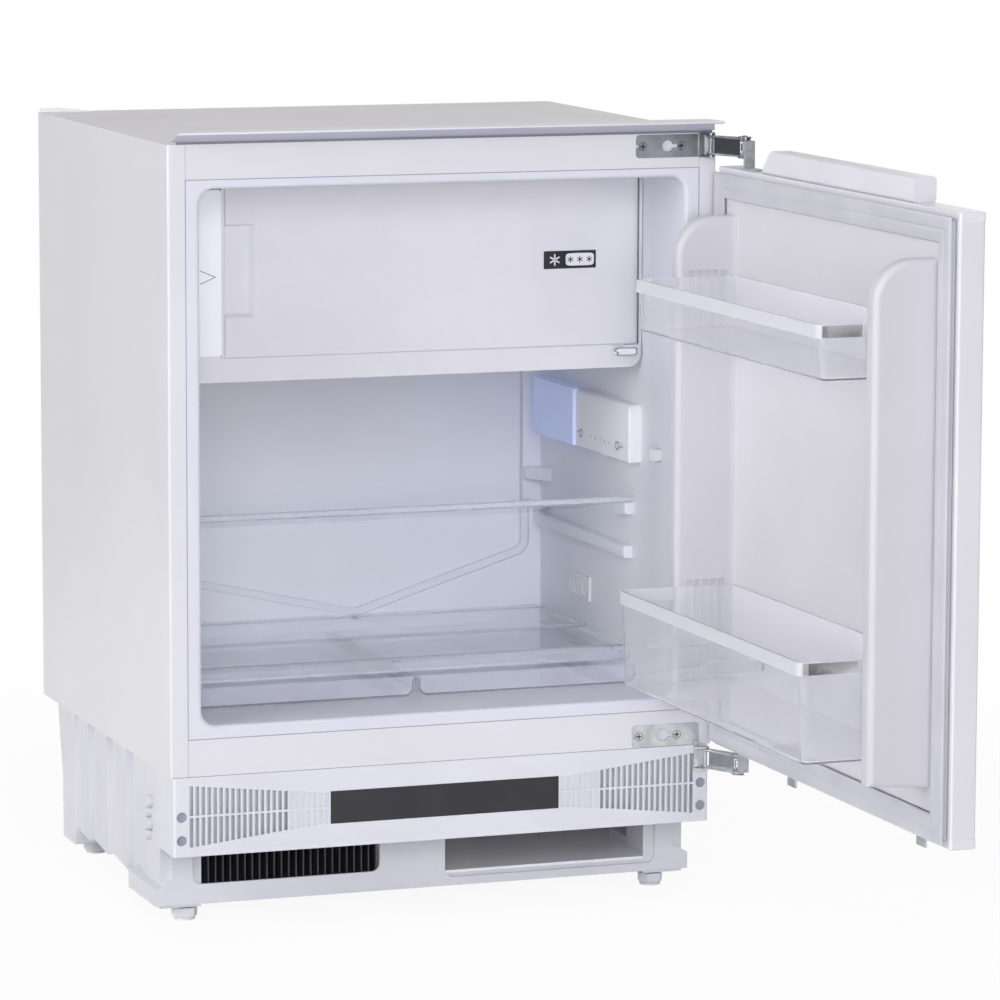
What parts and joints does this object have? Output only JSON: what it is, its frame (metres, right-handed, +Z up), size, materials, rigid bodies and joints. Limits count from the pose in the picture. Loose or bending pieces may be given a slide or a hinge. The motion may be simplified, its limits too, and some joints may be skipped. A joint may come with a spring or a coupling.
{
  "type": "built-under fridge freezer",
  "caption": "Built-under fridge with an ice box behind an inner flap, glass shelf, crisper drawers, door bins, two-pivot hinges and a vented plinth base on levelling feet.",
  "frame": {"origin": "on the floor, at the middle of the four levelling feet", "axes": "+X to the right of someone facing the fridge, +Y to the back, +Z up"},
  "size_m": [0.6357, 1.0924, 0.827],
  "materials": {
    "white_paint": "semi-gloss enamel",
    "grey_paint": "satin enamel",
    "white_plastic": "moulded, satin",
    "liner_plastic": "vacuum formed, satin",
    "clear_plastic": "clear moulded",
    "lamp_plastic": "clear, ribbed",
    "shelf_glass": "toughened, polished",
    "grey_trim": "brushed-look film",
    "light_trim": "moulded, satin",
    "zinc_steel": "bright zinc plate",
    "gasket_rubber": "matt",
    "foam": "cellular",
    "base_plastic": "moulded, matt",
    "dark_plastic": "moulded, matt",
    "black_metal": "matt enamel",
    "black_rubber": "matt",
    "copper": "drawn tube",
    "icebox_alloy": "painted",
    "foot_plastic": "moulded"
  },
  "bodies": {
    "cabinet": {"side_panels": "white_paint", "top_panel": "grey_paint", "top_strip": "white_plastic", "back_panel": "grey_paint", "floor_pan": "grey_paint", "front_rails": "white_paint", "cabinet_foam": "foam", "inner_liner": "liner_plastic", "drain_tube": "white_plastic", "icebox": "icebox_alloy", "icebox_frame": "white_plastic", "crisper_glass": "shelf_glass", "crisper_trims": "light_trim", "control_housing": "white_plastic", "lamp_cover": "lamp_plastic", "lamp": "lamp_plastic", "switch_housing": "white_plastic", "wall_vent": "white_plastic", "hinge_plates": "zinc_steel", "hinge_screws": "zinc_steel", "vent_grille": "base_plastic", "grille_plate": "dark_plastic", "base_front": "base_plastic", "base_tray": "base_plastic", "base_posts": "base_plastic", "base_skirts": "base_plastic", "condenser": "black_metal", "compressor": "black_metal", "compressor_mounts": "black_rubber", "fan_motor": "black_metal", "evaporation_tray": "dark_plastic", "refrigerant_pipe": "copper", "power_inlet": "dark_plastic"},
    "hinge_arms": {"hinge_arms": "zinc_steel"},
    "door": {"door_skin": "white_paint", "door_foam": "foam", "door_caps": "white_plastic", "door_liner": "liner_plastic", "door_gasket": "gasket_rubber", "door_bracket_cover": "white_plastic", "door_tabs": "zinc_steel", "hinge_brackets": "zinc_steel"},
    "upper_bin": {"upper_bin": "clear_plastic", "upper_bin_trim": "grey_trim"},
    "lower_bin": {"lower_bin": "clear_plastic", "lower_bin_trim": "grey_trim", "bottle_retainer": "clear_plastic"},
    "icebox_flap": {"icebox_flap": "white_plastic"},
    "icebox_latch": {"icebox_latch": "white_plastic"},
    "crisper_left": {"crisper_left": "clear_plastic"},
    "crisper_right": {"crisper_right": "clear_plastic"},
    "glass_shelf": {"shelf_glass": "shelf_glass", "shelf_trims": "light_trim"},
    "thermostat_dial": {"thermostat_dial": "white_plastic"},
    "door_switch": {"switch_button": "white_plastic"},
    "foot_front_left": {"foot_front_left": "foot_plastic"},
    "foot_front_right": {"foot_front_right": "foot_plastic"},
    "foot_rear_left": {"foot_rear_left": "foot_plastic"},
    "foot_rear_right": {"foot_rear_right": "foot_plastic"},
    "fan": {"fan_blade": "dark_plastic"}
  },
  "joints": [
    {"name": "hinge_arm_swing", "type": "hinge", "parent": "cabinet", "child": "hinge_arms", "pos_m": [0.2897, -0.2604, 0.49], "axis": [0, 0, 1], "range_deg": [-100.1, 26.4]},
    {"name": "door_swing", "type": "hinge", "parent": "hinge_arms", "child": "door", "pos_m": [0.31126, -0.30217, 0.49], "axis": [0, 0, 1], "range_deg": [-2.4, 9.1]},
    {"name": "upper_bin_lift", "type": "slide", "parent": "door", "child": "upper_bin", "axis": [0, 0, 1], "range_m": [0, 0.03]},
    {"name": "lower_bin_lift", "type": "slide", "parent": "door", "child": "lower_bin", "axis": [0, 0, 1], "range_m": [0, 0.03]},
    {"name": "icebox_flap_swing", "type": "hinge", "parent": "cabinet", "child": "icebox_flap", "pos_m": [0.24948, -0.133, 0.675], "axis": [0, 0, 1], "range_deg": [0, 55]},
    {"name": "icebox_latch_push", "type": "slide", "parent": "cabinet", "child": "icebox_latch", "axis": [0, 1, 0], "range_m": [0, 0.003], "stiffness_N_per_m": 600},
    {"name": "crisper_left_slide", "type": "slide", "parent": "cabinet", "child": "crisper_left", "axis": [0, -1, 0], "range_m": [0, 0.115]},
    {"name": "crisper_right_slide", "type": "slide", "parent": "cabinet", "child": "crisper_right", "axis": [0, -1, 0], "range_m": [0, 0.115]},
    {"name": "glass_shelf_slide", "type": "slide", "parent": "cabinet", "child": "glass_shelf", "axis": [0, -0.9835, 0.1809], "range_m": [0, 0.11]},
    {"name": "thermostat_turn", "type": "hinge", "parent": "cabinet", "child": "thermostat_dial", "pos_m": [0.25414, -0.056, 0.47125], "axis": [1, 0, 0], "range_deg": [0, 270]},
    {"name": "door_switch_push", "type": "slide", "parent": "cabinet", "child": "door_switch", "axis": [1, 0, 0], "range_m": [0, 0.006], "stiffness_N_per_m": 300},
    {"name": "foot_front_left_turn", "type": "hinge", "parent": "cabinet", "child": "foot_front_left", "pos_m": [-0.261, -0.175, 0], "axis": [0, 0, 1], "continuous": true},
    {"name": "foot_front_right_turn", "type": "hinge", "parent": "cabinet", "child": "foot_front_right", "pos_m": [0.261, -0.175, 0], "axis": [0, 0, 1], "continuous": true},
    {"name": "foot_rear_left_turn", "type": "hinge", "parent": "cabinet", "child": "foot_rear_left", "pos_m": [-0.261, 0.175, 0], "axis": [0, 0, 1], "continuous": true},
    {"name": "foot_rear_right_turn", "type": "hinge", "parent": "cabinet", "child": "foot_rear_right", "pos_m": [0.261, 0.175, 0], "axis": [0, 0, 1], "continuous": true},
    {"name": "fan_spin", "type": "hinge", "parent": "cabinet", "child": "fan", "pos_m": [-0.0205, 0.045, 0.086], "axis": [1, 0, 0], "continuous": true}
  ],
  "couplings": [
    {"joint": "door_swing", "follows": "hinge_arm_swing", "ratio": -0.090909}
  ]
}
